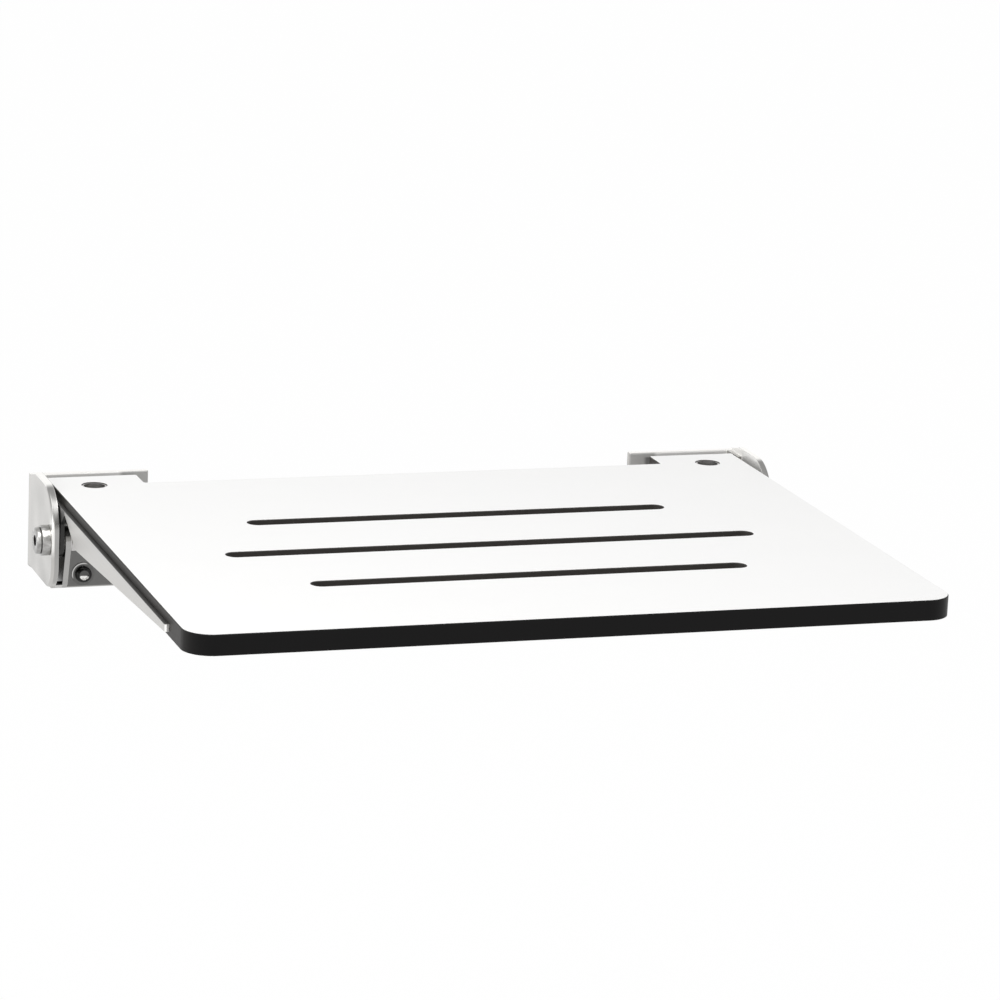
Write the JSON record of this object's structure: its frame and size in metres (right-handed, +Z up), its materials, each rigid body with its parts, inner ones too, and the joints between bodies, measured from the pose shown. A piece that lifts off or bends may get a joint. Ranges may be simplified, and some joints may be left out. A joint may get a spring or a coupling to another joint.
{
  "type": "fold down wall seat",
  "caption": "Fold down wall seat: slotted white panel with a dark core on two steel arms that pivot in wall brackets.",
  "frame": {"origin": "centre of the four wall screws, on the wall plane", "axes": "+Z up, +X to the right seen from the front, +Y into the wall; the seat reaches out along -Y"},
  "size_m": [0.4928, 0.404, 0.0797],
  "materials": {
    "laminate": "white high pressure laminate faces over a black core, fine satin",
    "bracket_steel": "polished stainless steel",
    "arm_steel": "satin stainless steel",
    "screw_steel": "stainless fasteners",
    "nylon": "natural nylon",
    "brass": "threaded inserts"
  },
  "bodies": {
    "wall_side": {"wall_screws_lower": "screw_steel", "wall_screws_upper": "screw_steel", "wall_washers": "screw_steel", "wall_bracket_left": "bracket_steel", "pivot_bolt_left": "screw_steel", "outer_thrust_washer_left": "nylon", "inner_thrust_washer_left": "nylon", "nut_washer_left": "screw_steel", "lock_nut_left": "screw_steel", "wall_bracket_right": "bracket_steel", "pivot_bolt_right": "screw_steel", "outer_thrust_washer_right": "nylon", "inner_thrust_washer_right": "nylon", "nut_washer_right": "screw_steel", "lock_nut_right": "screw_steel"},
    "seat": {"seat_panel": "laminate", "seat_arm_left": "arm_steel", "pivot_bush_left": "nylon", "arm_screws_left": "screw_steel", "panel_inserts_left": "brass", "tab_sleeve_left": "bracket_steel", "seat_arm_right": "arm_steel", "pivot_bush_right": "nylon", "arm_screws_right": "screw_steel", "panel_inserts_right": "brass", "tab_sleeve_right": "bracket_steel"}
  },
  "joints": [
    {"name": "seat_fold", "type": "hinge", "parent": "wall_side", "child": "seat", "pos_m": [0, -0.058, 0.0115], "axis": [-1, 0, 0], "range_deg": [0, 90]}
  ]
}
